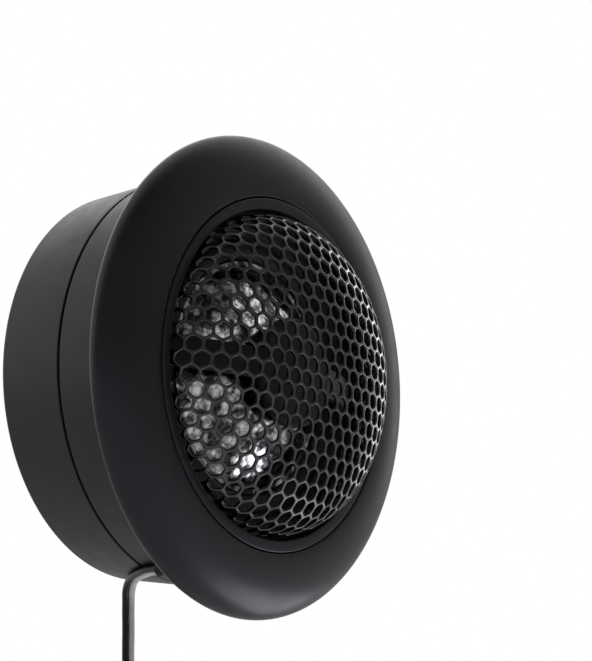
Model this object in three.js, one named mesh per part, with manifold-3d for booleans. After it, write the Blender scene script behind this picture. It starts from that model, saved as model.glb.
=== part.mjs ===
// Car tweeter in a small surface-mount cup, held with its axis level.
// Millimetres, +Z up. The axis runs along Y: the flat rear face of the cup lies on y = 0 with its
// centre at the origin, and the grille faces -Y. "depth" is the distance in front of the rear face.
import * as THREE from 'three';
import { mergeVertices } from 'three/addons/utils/BufferGeometryUtils.js';
import Module from 'manifold-3d';

const wasm = await Module();
wasm.setup();

// ---- driving dimensions ----------------------------------------------------------------------
const OUTER_SEGMENTS = 48;
const INNER_SEGMENTS = 28;
const SMALL_SEGMENTS = 12;

const CUP_REAR_RADIUS = 22.2;
const CUP_SEAM_RADIUS = 23.05;
const CUP_CORNER = 0.6;
const CUP_WALL = 1.4;
const CUP_FLOOR = 2.0;
const SEAM_DEPTH = 9.1;
const SEAM_GAP = 0.25;
const HOUSING_FRONT_RADIUS = 23.8;
const HOUSING_FRONT_DEPTH = 16.6;
const HOUSING_LAP_RADIUS = 21.15;
const SPIGOT_OUTER = 22.4;
const SPIGOT_INNER = 21.2;
const SPIGOT_FRONT = 19.2;

const BEZEL_RADIUS = 27.0;
const BEZEL_REAR_DEPTH = 16.7;
const BEZEL_REAR_ROUND = 1.0;
const BEZEL_FRONT_DEPTH = 20.9;
const BEZEL_BORE = 19.75;
const BEZEL_LIP = 0.25;
const BEZEL_RELIEF_RADIUS = 24.2;
const BEZEL_RELIEF = 0.15;
const BEZEL_GROOVE_OUTER = 22.65;
const BEZEL_GROOVE_INNER = 20.95;
const BEZEL_GROOVE_DEPTH = 19.45;
const BEZEL_SKIRT_REAR = 15.0;
const BEZEL_STEPS = 7;
const BEZEL_ROUND_STEPS = 3;

const GRILLE_RING_RADIUS = 19.5;
const GRILLE_OPENING = 18.35;
const GRILLE_RING_REAR = 18.75;
const MESH_RADIUS = 17.95;
const MESH_BASE = 19.0;
const MESH_HEIGHT = 9.2;
const MESH_POWER = 2.5;
const MESH_THICKNESS = 0.5;
const MESH_FLANGE_RADIUS = 19.3;
const MESH_FLANGE_REAR = 18.15;
const MESH_STEPS = 7;

const FACEPLATE_RADIUS = 19.3;
const FACEPLATE_REAR = 16.75;
const FACEPLATE_FRONT = 18.0;
const FACEPLATE_OPENING = 15.7;
const CAPSULE_TURN = 4.7;
const BRIDGE_WIDTH = 3.3;
// The bridge's half arch, as [x, depth] points from its foot to the disc.
const BRIDGE_OUTER = [[17.5, 17.3], [16.9, 18.4], [13.4, 20.6], [10.2, 22.3], [5.6, 23.5]];
const BRIDGE_INNER = [[16.3, 17.2], [15.6, 18.0], [12.9, 19.5], [9.8, 21.3], [5.6, 22.6]];
const DISC_RADIUS = 6.1;
const DISC_REAR = 22.5;
const DISC_THICKNESS = 1.1;

const DOME_RADIUS = 12.5;
const DOME_BASE = 16.7;
const DOME_HEIGHT = 5.0;
const DOME_SKIN = 0.3;
const DOME_STEPS = 5;
const DOME_FLANGE_RADIUS = 13.0;
const SURROUND_INNER = 13.15;
const SURROUND_ROLL_RADIUS = 0.92;
const SURROUND_OUTER = 16.6;
const SURROUND_REAR = 16.35;
const SURROUND_SKIN = 0.25;
const SURROUND_STEPS = 5;
const DIAPHRAGM_RING_INNER = 15.35;

const FORMER_INNER = 12.2;
const FORMER_OUTER = 12.45;
const COIL_INNER = 12.55;
const COIL_OUTER = 12.95;
const FORMER_REAR = 10.8;
const COIL_REAR = 11.0;
const COIL_FRONT = 13.2;
const YOKE_RADIUS = 15.5;
const YOKE_BORE = 13.4;
const YOKE_REAR = 7.6;
const YOKE_FLOOR = 1.4;
const YOKE_FRONT = 12.9;
const MAGNET_RADIUS = 11.0;
const POLE_RADIUS = 11.9;
const POLE_REAR = 11.3;
const PAD_RADIUS = 9.5;
const PAD_THICKNESS = 1.4;
const STACK_GAP = 0.1;

const CHASSIS_BORE = 15.65;
const CHASSIS_SLEEVE = 16.6;
const CHASSIS_FLANGE = 19.4;
const CHASSIS_FLANGE_REAR = 14.95;
const CHASSIS_FLANGE_FRONT = 15.55;
const SHELF_REAR = 13.2;
const SHELF_FRONT = 14.6;
const SHELF_BORE = 17.6;
const HOUSING_BORE = 20.0;
const GASKET_INNER = 17.4;
const GASKET_OUTER = 19.5;
const GASKET_GAP = 0.05;

const HOUSING_SCREW_ANGLES = [90, 210, 330];
const HOUSING_SCREW_CIRCLE = 19.0;
const HOUSING_SCREW = { headRadius: 1.8, headRear: 0.3, headFront: 1.3, shankRadius: 1.0, tip: 12.6 };
const BOSS_RADIUS = 2.1;
const BOSS_BORE = 1.2;
const BOSS_JOINT_DEPTH = 7.5;
const COUNTERBORE_RADIUS = 2.05;
const COUNTERBORE_DEPTH = 1.4;
const CAPSULE_SCREW_ANGLES = [30, 150, 270];
const CAPSULE_SCREW_CIRCLE = 18.45;
const CAPSULE_SCREW = { headRadius: 1.3, headRear: 12.2, headFront: 13.1, shankRadius: 0.6, tip: 17.4 };
const CAPSULE_HOLE_RADIUS = 0.8;
const CAPSULE_HOLE_END = 17.65;

const TERMINAL_RADIUS = 16.95;
const TERMINAL_THICKNESS = 0.4;
const TERMINAL_WIDTH = 2.2;
const TERMINAL_REAR = 8.6;
const TERMINAL_FRONT = 16.5;
const TERMINAL_EYE = { length: 1.4, width: 0.8, inset: 1.5 };

const CAPACITOR_RADIUS = 2.5;
const CAPACITOR_LENGTH = 11.5;
const CAPACITOR_DEPTH = 4.7;
const CAPACITOR_HEIGHT = 7.0;

const LEAD_ANGLE = 245.6;
const LEAD_DEPTH = 12.0;
const LEAD_RADIUS = 0.45;
const WIRE_RADIUS = 0.38;
const STRAND_RADIUS = 0.3;
const GROMMET_HOLE_RADIUS = 1.15;
const GROMMET_PLUG_RADIUS = 0.95;
const BOOT_RADIUS = 0.85;
const COIL_MEAN_RADIUS = 7.2;
const COIL_BUNDLE_RADIAL = 3.6;
const COIL_BUNDLE_AXIAL = 5.2;
const COIL_BUNDLE_ROUND = 1.0;
const TIE_THICKNESS = 0.6;
const TIE_WIDTH = 2.2;
const TAIL_LENGTH = 9.0;
const WIRE_END_LENGTH = 4.0;
const TOUCH_GAP = 0.3;
// How far a cutter runs past the faces that it opens.
const OVERCUT = 1.0;

// ---- materials -------------------------------------------------------------------------------
const finish = (color, roughness, metalness) => new THREE.MeshStandardMaterial({ color, roughness, metalness });
const LOOKS = {
  housing: () => finish(0x3c3b38, 0.5, 0),
  bezel: () => finish(0x202023, 0.38, 0),
  mesh: () => finish(0x141415, 0.4, 0.6),
  faceplate: () => finish(0x101011, 0.55, 0),
  dome: () => finish(0xc9cacd, 0.25, 0.9),
  surround: () => finish(0x1a1a1b, 0.6, 0),
  former: () => finish(0xa9743a, 0.5, 0),
  copper: () => finish(0xb4683a, 0.35, 0.9),
  steel: () => finish(0xb5b7ba, 0.35, 0.9),
  magnet: () => finish(0xd2d3d6, 0.2, 1),
  felt: () => finish(0x4b4a48, 0.95, 0),
  foam: () => finish(0x27272a, 0.95, 0),
  brass: () => finish(0xc7a04c, 0.3, 1),
  tinned: () => finish(0xbfc1c4, 0.3, 1),
  capacitor: () => finish(0x1d4f8c, 0.4, 0),
  black_wire: () => finish(0x111112, 0.45, 0),
  white_wire: () => finish(0xe4e3df, 0.4, 0),
  rubber: () => finish(0x161617, 0.7, 0),
  screw: () => finish(0x2a2a2c, 0.4, 0.8),
};

// ---- helpers ---------------------------------------------------------------------------------
const tweeter = new THREE.Group();

function add(name, solid, look) {
  const raw = solid.getMesh();
  const geometry = new THREE.BufferGeometry();
  geometry.setAttribute('position', new THREE.BufferAttribute(raw.vertProperties, 3));
  geometry.setIndex(new THREE.BufferAttribute(raw.triVerts, 1));
  const mesh = new THREE.Mesh(geometry, LOOKS[look]());
  mesh.name = name;
  tweeter.add(mesh);
}

// A closed three.js geometry as a solid that can be joined and cut.
function toSolid(geometry) {
  const bare = geometry.clone();
  bare.deleteAttribute('normal');
  bare.deleteAttribute('uv');
  const merged = mergeVertices(bare, 1e-4);
  const index = merged.index.array;
  const kept = [];
  for (let i = 0; i < index.length; i += 3) {
    const [a, b, c] = [index[i], index[i + 1], index[i + 2]];
    if (a !== b && b !== c && a !== c) kept.push(a, b, c);
  }
  return new wasm.Manifold(new wasm.Mesh({
    numProp: 3,
    vertProperties: new Float32Array(merged.attributes.position.array),
    triVerts: new Uint32Array(kept),
  }));
}

// A body turned about the tweeter's axis, from a closed outline of [radius, depth] points.
function turned(outline, segments = INNER_SEGMENTS) {
  const points = outline.map(([radius, depth]) => new THREE.Vector2(radius, -depth));
  if (THREE.ShapeUtils.area(points) < 0) points.reverse();
  const onAxis = points.findIndex((p) => p.x === 0);
  if (onAxis < 0) return toSolid(new THREE.LatheGeometry([...points, points[0]], segments));
  const start = points.findIndex((p, i) => p.x === 0 && points.at(i - 1).x === 0);
  const ordered = [...points.slice(start), ...points.slice(0, start)];
  return toSolid(new THREE.LatheGeometry(ordered, segments));
}

// A cylinder along Y between two depths.
function pin(radius, from, to, x, z, segments = SMALL_SEGMENTS) {
  const geometry = new THREE.CylinderGeometry(radius, radius, to - from, segments);
  return toSolid(geometry.translate(x, -(from + to) / 2, z));
}

function box(sizeX, sizeY, sizeZ, x, y, z) {
  return toSolid(new THREE.BoxGeometry(sizeX, sizeY, sizeZ).translate(x, y, z));
}

// The place on a circle round the axis, its angle from +X towards +Z in degrees.
function around(radius, degrees) {
  const angle = THREE.MathUtils.degToRad(degrees);
  return [radius * Math.cos(angle), radius * Math.sin(angle)];
}

// A round tube through [x, depth, z] points.
function tube(points, radius, steps, sides = 8) {
  const path = new THREE.CatmullRomCurve3(points.map(([x, depth, z]) => new THREE.Vector3(x, -depth, z)));
  const section = new THREE.Shape();
  for (let i = 0; i < sides; i += 1) {
    const angle = (i / sides) * 2 * Math.PI;
    section[i === 0 ? 'moveTo' : 'lineTo'](radius * Math.cos(angle), radius * Math.sin(angle));
  }
  section.closePath();
  return toSolid(new THREE.ExtrudeGeometry(section, { steps, bevelEnabled: false, extrudePath: path }));
}

// Points of a quarter of a superellipse, from its top on the axis to its rim.
function domeCurve(radius, base, height, power, steps) {
  const points = [];
  for (let i = 0; i <= steps; i += 1) {
    const angle = (i / steps) * (Math.PI / 2);
    const across = i === 0 ? 0 : radius * Math.sin(angle) ** (2 / power);
    const up = i === steps ? 0 : height * Math.cos(angle) ** (2 / power);
    points.push([across, base + up]);
  }
  return points;
}

// Points of a spherical cap, from its top on the axis to its rim.
function capCurve(radius, base, height, steps) {
  const ball = (radius * radius + height * height) / (2 * height);
  const points = [];
  for (let i = 0; i <= steps; i += 1) {
    const across = (i / steps) * radius;
    points.push([across, base + height - ball + Math.sqrt(ball * ball - across * across)]);
  }
  return points;
}

// A pin along the lead's exit through the housing's wall.
function grommetPin(radius, from, to) {
  const geometry = new THREE.CylinderGeometry(radius, radius, to - from, SMALL_SEGMENTS);
  geometry.translate(0, (from + to) / 2, 0);
  geometry.rotateZ(-Math.PI / 2);
  geometry.rotateY(-THREE.MathUtils.degToRad(LEAD_ANGLE));
  return toSolid(geometry.translate(0, -LEAD_DEPTH, 0));
}

// The hole in the housing's wall that the lead's grommet sits in.
function grommetHole() {
  return grommetPin(GROMMET_HOLE_RADIUS, HOUSING_BORE - OVERCUT, HOUSING_FRONT_RADIUS + OVERCUT);
}

// ---- housing ---------------------------------------------------------------------------------
function rearCup() {
  const seamBore = CUP_SEAM_RADIUS - CUP_WALL;
  let cup = turned([
    [0, 0],
    [CUP_REAR_RADIUS - CUP_CORNER, 0],
    [CUP_REAR_RADIUS - CUP_CORNER * 0.3, CUP_CORNER * 0.3],
    [CUP_REAR_RADIUS, CUP_CORNER],
    [CUP_SEAM_RADIUS, SEAM_DEPTH],
    [seamBore, SEAM_DEPTH],
    [CUP_REAR_RADIUS - CUP_WALL, CUP_FLOOR],
    [0, CUP_FLOOR],
  ], OUTER_SEGMENTS);
  for (const angle of HOUSING_SCREW_ANGLES) {
    const [x, z] = around(HOUSING_SCREW_CIRCLE, angle);
    cup = cup.add(pin(BOSS_RADIUS, CUP_FLOOR - STACK_GAP, BOSS_JOINT_DEPTH - STACK_GAP, x, z));
    cup = cup.subtract(pin(BOSS_BORE, -OVERCUT, BOSS_JOINT_DEPTH + OVERCUT, x, z));
    cup = cup.subtract(pin(COUNTERBORE_RADIUS, -OVERCUT, COUNTERBORE_DEPTH, x, z));
  }
  return cup;
}

function frontHousing() {
  let housing = turned([
    [CUP_SEAM_RADIUS, SEAM_DEPTH + SEAM_GAP],
    [HOUSING_FRONT_RADIUS, HOUSING_FRONT_DEPTH],
    [SPIGOT_OUTER, HOUSING_FRONT_DEPTH],
    [SPIGOT_OUTER, SPIGOT_FRONT],
    [SPIGOT_INNER, SPIGOT_FRONT],
    [SPIGOT_INNER, SHELF_FRONT],
    [SHELF_BORE, SHELF_FRONT],
    [SHELF_BORE, SHELF_REAR],
    [HOUSING_BORE, SHELF_REAR],
    [HOUSING_BORE, BOSS_JOINT_DEPTH + STACK_GAP],
    [HOUSING_LAP_RADIUS, BOSS_JOINT_DEPTH + STACK_GAP],
    [HOUSING_LAP_RADIUS, SEAM_DEPTH + SEAM_GAP],
  ], OUTER_SEGMENTS);
  for (const angle of HOUSING_SCREW_ANGLES) {
    const [x, z] = around(HOUSING_SCREW_CIRCLE, angle);
    housing = housing.add(pin(BOSS_RADIUS, BOSS_JOINT_DEPTH + STACK_GAP, SHELF_REAR + 0.1, x, z));
    housing = housing.subtract(pin(BOSS_BORE, BOSS_JOINT_DEPTH - OVERCUT, SHELF_REAR + 0.4, x, z));
  }
  for (const angle of CAPSULE_SCREW_ANGLES) {
    const [x, z] = around(CAPSULE_SCREW_CIRCLE, angle);
    housing = housing.subtract(pin(CAPSULE_HOLE_RADIUS, SHELF_REAR - OVERCUT, SHELF_FRONT + OVERCUT, x, z));
  }
  return housing.subtract(grommetHole());
}

function bezelRing() {
  const rimDepth = BEZEL_REAR_DEPTH + BEZEL_REAR_ROUND;
  const flatRadius = BEZEL_BORE + BEZEL_LIP;
  const outline = [[BEZEL_BORE, BEZEL_FRONT_DEPTH - BEZEL_LIP]];
  for (let i = 0; i <= BEZEL_STEPS; i += 1) {
    const angle = (i / BEZEL_STEPS) * (Math.PI / 2);
    const radius = flatRadius + (BEZEL_RADIUS - flatRadius) * Math.sin(angle);
    outline.push([radius, rimDepth + (BEZEL_FRONT_DEPTH - rimDepth) * Math.cos(angle)]);
  }
  for (let i = 1; i <= BEZEL_ROUND_STEPS; i += 1) {
    const angle = (i / BEZEL_ROUND_STEPS) * (Math.PI / 2);
    const centre = BEZEL_RADIUS - BEZEL_REAR_ROUND;
    outline.push([centre + BEZEL_REAR_ROUND * Math.cos(angle), rimDepth - BEZEL_REAR_ROUND * Math.sin(angle)]);
  }
  outline.push(
    [BEZEL_RELIEF_RADIUS, BEZEL_REAR_DEPTH],
    [BEZEL_RELIEF_RADIUS - BEZEL_RELIEF, BEZEL_REAR_DEPTH + BEZEL_RELIEF],
    [BEZEL_GROOVE_OUTER, BEZEL_REAR_DEPTH + BEZEL_RELIEF],
    [BEZEL_GROOVE_OUTER, BEZEL_GROOVE_DEPTH],
    [BEZEL_GROOVE_INNER, BEZEL_GROOVE_DEPTH],
    [BEZEL_GROOVE_INNER, BEZEL_SKIRT_REAR],
    [BEZEL_BORE, BEZEL_SKIRT_REAR],
  );
  return turned(outline, OUTER_SEGMENTS);
}

// ---- grille and faceplate --------------------------------------------------------------------
function grilleRing() {
  return turned([
    [GRILLE_OPENING, GRILLE_RING_REAR],
    [GRILLE_RING_RADIUS, GRILLE_RING_REAR],
    [GRILLE_RING_RADIUS, BEZEL_FRONT_DEPTH - 0.15],
    [GRILLE_RING_RADIUS - 0.15, BEZEL_FRONT_DEPTH],
    [GRILLE_OPENING + 0.2, BEZEL_FRONT_DEPTH],
    [GRILLE_OPENING, BEZEL_FRONT_DEPTH - 0.2],
  ], OUTER_SEGMENTS);
}

// The perforated dome, drawn as a plain skin of the same outer shape, with its clamped flange.
function grilleMesh() {
  const outside = domeCurve(MESH_RADIUS, MESH_BASE, MESH_HEIGHT, MESH_POWER, MESH_STEPS);
  const inside = domeCurve(
    MESH_RADIUS - MESH_THICKNESS, MESH_BASE, MESH_HEIGHT - MESH_THICKNESS, MESH_POWER, MESH_STEPS,
  );
  const flangeFront = GRILLE_RING_REAR - 0.15;
  return turned([
    ...outside,
    [MESH_RADIUS, flangeFront],
    [MESH_FLANGE_RADIUS, flangeFront],
    [MESH_FLANGE_RADIUS, MESH_FLANGE_REAR],
    [MESH_RADIUS - MESH_THICKNESS, MESH_FLANGE_REAR],
    ...inside.reverse(),
  ], OUTER_SEGMENTS);
}

// The arched bar that crosses the dome from side to side.
function bridgeBar() {
  const flip = ([x, depth]) => [-x, depth];
  const loop = [
    ...BRIDGE_OUTER,
    ...BRIDGE_OUTER.map(flip).reverse(),
    ...BRIDGE_INNER.map(flip),
    ...BRIDGE_INNER.slice().reverse(),
  ];
  const shape = new THREE.Shape(loop.map(([x, depth]) => new THREE.Vector2(x, -depth)));
  const bar = new THREE.ExtrudeGeometry(shape, { depth: BRIDGE_WIDTH, bevelEnabled: false });
  return toSolid(bar.translate(0, 0, -BRIDGE_WIDTH / 2));
}

function faceplate() {
  let plate = turned([
    [FACEPLATE_OPENING, FACEPLATE_REAR],
    [FACEPLATE_RADIUS, FACEPLATE_REAR],
    [FACEPLATE_RADIUS, FACEPLATE_FRONT],
    [FACEPLATE_RADIUS - 1.3, FACEPLATE_FRONT],
    [FACEPLATE_OPENING + 0.4, FACEPLATE_REAR + 0.5],
  ], OUTER_SEGMENTS);
  plate = plate.add(bridgeBar()).add(turned([
    [0, DISC_REAR],
    [DISC_RADIUS, DISC_REAR],
    [DISC_RADIUS, DISC_REAR + DISC_THICKNESS - 0.3],
    [DISC_RADIUS - 0.4, DISC_REAR + DISC_THICKNESS],
    [0, DISC_REAR + DISC_THICKNESS + 0.2],
  ]));
  for (const angle of CAPSULE_SCREW_ANGLES) {
    const [x, z] = around(CAPSULE_SCREW_CIRCLE, angle + CAPSULE_TURN);
    plate = plate.subtract(pin(CAPSULE_HOLE_RADIUS, FACEPLATE_REAR - OVERCUT, CAPSULE_HOLE_END, x, z));
  }
  return plate.rotate([0, CAPSULE_TURN, 0]);
}

// ---- moving system ---------------------------------------------------------------------------
function domeDiaphragm() {
  const outside = capCurve(DOME_RADIUS, DOME_BASE, DOME_HEIGHT, DOME_STEPS);
  const inside = capCurve(DOME_RADIUS - DOME_SKIN, DOME_BASE, DOME_HEIGHT - DOME_SKIN, DOME_STEPS);
  return turned([
    ...outside,
    [DOME_FLANGE_RADIUS, DOME_BASE],
    [DOME_FLANGE_RADIUS, DOME_BASE - DOME_SKIN],
    [DOME_RADIUS - DOME_SKIN, DOME_BASE - DOME_SKIN],
    ...inside.reverse(),
  ]);
}

function surround() {
  const centre = SURROUND_INNER + SURROUND_ROLL_RADIUS + SURROUND_SKIN;
  const front = SURROUND_REAR + SURROUND_SKIN;
  const roll = (radius) => {
    const points = [];
    for (let i = 0; i <= SURROUND_STEPS; i += 1) {
      const angle = (i / SURROUND_STEPS) * Math.PI;
      points.push([centre - radius * Math.cos(angle), SURROUND_REAR + radius * Math.sin(angle)]);
    }
    return points;
  };
  return turned([
    ...roll(SURROUND_ROLL_RADIUS + SURROUND_SKIN).slice(0, -1),
    [centre + SURROUND_ROLL_RADIUS + SURROUND_SKIN, front],
    [SURROUND_OUTER, front],
    [SURROUND_OUTER, SURROUND_REAR],
    ...roll(SURROUND_ROLL_RADIUS).reverse(),
  ]);
}

function ring(inner, outer, rear, front, segments = INNER_SEGMENTS) {
  return turned([[inner, rear], [outer, rear], [outer, front], [inner, front]], segments);
}

function disc(radius, rear, front, chamfer) {
  return turned([
    [0, rear],
    [radius, rear],
    [radius, front - chamfer],
    [radius - chamfer, front],
    [0, front],
  ]);
}

// ---- motor and chassis -----------------------------------------------------------------------
function yokeCup() {
  return turned([
    [0, YOKE_REAR],
    [YOKE_RADIUS - 0.5, YOKE_REAR],
    [YOKE_RADIUS, YOKE_REAR + 0.5],
    [YOKE_RADIUS, YOKE_FRONT],
    [YOKE_BORE, YOKE_FRONT],
    [YOKE_BORE, YOKE_REAR + YOKE_FLOOR],
    [0, YOKE_REAR + YOKE_FLOOR],
  ]);
}

function chassis() {
  let frame = turned([
    [CHASSIS_BORE, YOKE_REAR + 0.2],
    [CHASSIS_SLEEVE, YOKE_REAR + 0.2],
    [CHASSIS_SLEEVE, CHASSIS_FLANGE_REAR],
    [CHASSIS_FLANGE, CHASSIS_FLANGE_REAR],
    [CHASSIS_FLANGE, CHASSIS_FLANGE_FRONT],
    [YOKE_BORE + 0.5, CHASSIS_FLANGE_FRONT],
    [YOKE_BORE + 0.5, YOKE_FRONT + 0.15],
    [CHASSIS_BORE, YOKE_FRONT + 0.15],
  ]);
  for (const side of [-1, 1]) {
    const place = side * (TERMINAL_RADIUS + TERMINAL_THICKNESS / 2);
    frame = frame.subtract(box(0.9, 2, TERMINAL_WIDTH + 0.6, place, -CHASSIS_FLANGE_FRONT, 0));
  }
  for (const angle of CAPSULE_SCREW_ANGLES) {
    const [x, z] = around(CAPSULE_SCREW_CIRCLE, angle);
    const hole = pin(CAPSULE_HOLE_RADIUS, CHASSIS_FLANGE_REAR - OVERCUT, CHASSIS_FLANGE_FRONT + OVERCUT, x, z);
    frame = frame.subtract(hole);
  }
  return frame;
}

function foamGasket() {
  const [rear, front] = [SHELF_FRONT + GASKET_GAP, CHASSIS_FLANGE_REAR - GASKET_GAP];
  let gasket = ring(GASKET_INNER, GASKET_OUTER, rear, front, OUTER_SEGMENTS);
  for (const angle of CAPSULE_SCREW_ANGLES) {
    const [x, z] = around(CAPSULE_SCREW_CIRCLE, angle);
    gasket = gasket.subtract(pin(CAPSULE_HOLE_RADIUS, rear - OVERCUT, front + OVERCUT, x, z));
  }
  return gasket;
}

function terminal(side) {
  const length = TERMINAL_FRONT - TERMINAL_REAR;
  const place = side * (TERMINAL_RADIUS + TERMINAL_THICKNESS / 2);
  const tab = box(TERMINAL_THICKNESS, length, TERMINAL_WIDTH, place, -(TERMINAL_REAR + length / 2), 0);
  const eyeDepth = TERMINAL_REAR + TERMINAL_EYE.inset;
  return tab.subtract(box(2 * OVERCUT, TERMINAL_EYE.length, TERMINAL_EYE.width, place, -eyeDepth, 0));
}

// ---- fasteners -------------------------------------------------------------------------------
// A screw along Y with a cross recess in its head, which faces the rear.
function crossScrew({ headRadius, headRear, headFront, shankRadius, tip }, x, z) {
  const recess = headRadius * 1.1;
  const slot = headRadius * 0.28;
  const depth = (headFront - headRear) * 1.2;
  return pin(headRadius, headRear, headFront, x, z)
    .add(pin(shankRadius, headFront - 0.1, tip, x, z))
    .subtract(box(recess, depth, slot, x, -headRear, z))
    .subtract(box(slot, depth, recess, x, -headRear, z));
}

// ---- wiring ----------------------------------------------------------------------------------
function capacitor() {
  const can = new THREE.CylinderGeometry(CAPACITOR_RADIUS, CAPACITOR_RADIUS, CAPACITOR_LENGTH, 20);
  can.rotateZ(Math.PI / 2);
  return toSolid(can.translate(0, -CAPACITOR_DEPTH, CAPACITOR_HEIGHT));
}

// The place at a height above the housing's outer wall, its angle from +X towards +Z in degrees.
function onWall(depth, degrees, height) {
  const [rear, front] = depth < SEAM_DEPTH
    ? [[0, CUP_REAR_RADIUS], [SEAM_DEPTH, CUP_SEAM_RADIUS]]
    : [[SEAM_DEPTH, CUP_SEAM_RADIUS], [HOUSING_FRONT_DEPTH, HOUSING_FRONT_RADIUS]];
  const part = (depth - rear[0]) / (front[0] - rear[0]);
  const [x, z] = around(rear[1] + part * (front[1] - rear[1]) + height, degrees);
  return [x, depth, z];
}

// Black rubber grommet: a plug in the wall's hole and a low boot that lays the lead along the wall.
function leadGrommet() {
  const axis = [onWall(13.0, 245.2, 0.2), onWall(12.1, 245.6, 0.4), onWall(11.15, 246.35, 0.45)];
  const boot = tube(axis, BOOT_RADIUS, 4, SMALL_SEGMENTS);
  const wall = turned([
    [0, SEAM_DEPTH],
    [CUP_SEAM_RADIUS + STACK_GAP, SEAM_DEPTH],
    [HOUSING_FRONT_RADIUS + STACK_GAP, HOUSING_FRONT_DEPTH],
    [0, HOUSING_FRONT_DEPTH],
  ], OUTER_SEGMENTS);
  return boot.subtract(wall).add(grommetPin(GROMMET_PLUG_RADIUS, 20.8, 23.8));
}

// The lead's centreline: along the wall from the grommet, then straight down to the coil.
const LEAD_ROUTE = [
  onWall(10.8, 246.7, 0.6),
  onWall(10.2, 247.2, 0.6),
  onWall(9.0, 248.7, 0.6),
  onWall(7.8, 250.4, 0.6),
  onWall(6.6, 252.4, 0.6),
  onWall(5.4, 254.8, 0.6),
  onWall(4.4, 257.0, 0.62),
  onWall(3.55, 258.9, 0.85),
  onWall(2.95, 260.3, 1.4),
  [-3.66, 2.6, -24.6],
  [-3.55, 2.5, -25.9],
  [-3.5, 2.5, -28.0],
  [-3.5, 2.5, -32.0],
  [-3.5, 2.5, -35.0],
  [-3.5, 2.5, -38.0],
];
const [LEAD_END_X, LEAD_END_DEPTH, LEAD_END_Z] = LEAD_ROUTE.at(-1);
const COIL_CENTRE_Z = LEAD_END_Z - TOUCH_GAP - COIL_MEAN_RADIUS - COIL_BUNDLE_RADIAL / 2;

function leadCoil() {
  const inner = COIL_MEAN_RADIUS - COIL_BUNDLE_RADIAL / 2;
  const outer = COIL_MEAN_RADIUS + COIL_BUNDLE_RADIAL / 2;
  const half = COIL_BUNDLE_AXIAL / 2;
  const round = COIL_BUNDLE_ROUND;
  return turned([
    [inner, -half + round],
    [inner + round, -half],
    [outer - round, -half],
    [outer, -half + round],
    [outer, half - round],
    [outer - round, half],
    [inner + round, half],
    [inner, half - round],
  ]).translate([LEAD_END_X, -LEAD_END_DEPTH, COIL_CENTRE_Z]);
}

function leadTie() {
  const across = COIL_BUNDLE_RADIAL + 2 * TOUCH_GAP;
  const along = COIL_BUNDLE_AXIAL + 2 * TOUCH_GAP;
  const band = box(across + 2 * TIE_THICKNESS, along + 2 * TIE_THICKNESS, TIE_WIDTH, 0, 0, 0);
  const hollow = box(across, along, 2 * TIE_WIDTH, 0, 0, 0);
  const lock = box(1.8, 2.4, 2.8, across / 2 + 1.3, 0, 0);
  return band.subtract(hollow).add(lock)
    .translate([LEAD_END_X + COIL_MEAN_RADIUS, -LEAD_END_DEPTH, COIL_CENTRE_Z]);
}

const TAIL_X = LEAD_END_X - COIL_MEAN_RADIUS - 1.0;
const TAIL_TOP = COIL_CENTRE_Z - 6.0;
const TAIL_END = TAIL_TOP - TAIL_LENGTH;

// Where an inner wire leaves the inside of the grommet.
function inGrommet(degrees) {
  const [x, z] = around(20.4, degrees);
  return [x, LEAD_DEPTH, z];
}

// ---- assembly --------------------------------------------------------------------------------
add('rear_cup', rearCup(), 'housing');
add('front_housing', frontHousing(), 'housing');
add('bezel_ring', bezelRing(), 'bezel');
add('grille_ring', grilleRing(), 'bezel');
add('grille_mesh', grilleMesh(), 'mesh');
add('faceplate', faceplate(), 'faceplate');

add('dome_diaphragm', domeDiaphragm(), 'dome');
add('surround', surround(), 'surround');
const formerFront = DOME_BASE - DOME_SKIN - GASKET_GAP;
add('voice_coil_former', ring(FORMER_INNER, FORMER_OUTER, FORMER_REAR, formerFront), 'former');
add('voice_coil', ring(COIL_INNER, COIL_OUTER, COIL_REAR, COIL_FRONT), 'copper');
add('diaphragm_ring', ring(
  DIAPHRAGM_RING_INNER, SURROUND_OUTER, CHASSIS_FLANGE_FRONT + STACK_GAP, SURROUND_REAR - GASKET_GAP,
), 'faceplate');

add('yoke_cup', yokeCup(), 'steel');
add('magnet', disc(MAGNET_RADIUS, YOKE_REAR + YOKE_FLOOR + STACK_GAP, POLE_REAR - STACK_GAP, 0.3), 'magnet');
add('pole_plate', disc(POLE_RADIUS, POLE_REAR, YOKE_FRONT, 0.4), 'steel');
const padRear = YOKE_FRONT + STACK_GAP;
add('damping_pad', disc(PAD_RADIUS, padRear, padRear + PAD_THICKNESS, 0.3), 'felt');
add('chassis', chassis(), 'faceplate');
add('foam_gasket', foamGasket(), 'foam');
add('terminal_positive', terminal(1), 'brass');
add('terminal_negative', terminal(-1), 'brass');

HOUSING_SCREW_ANGLES.forEach((angle, i) => {
  const [x, z] = around(HOUSING_SCREW_CIRCLE, angle);
  add(`housing_screw_${i + 1}`, crossScrew(HOUSING_SCREW, x, z), 'screw');
});
CAPSULE_SCREW_ANGLES.forEach((angle, i) => {
  const [x, z] = around(CAPSULE_SCREW_CIRCLE, angle);
  add(`capsule_screw_${i + 1}`, crossScrew(CAPSULE_SCREW, x, z), 'screw');
});

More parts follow.
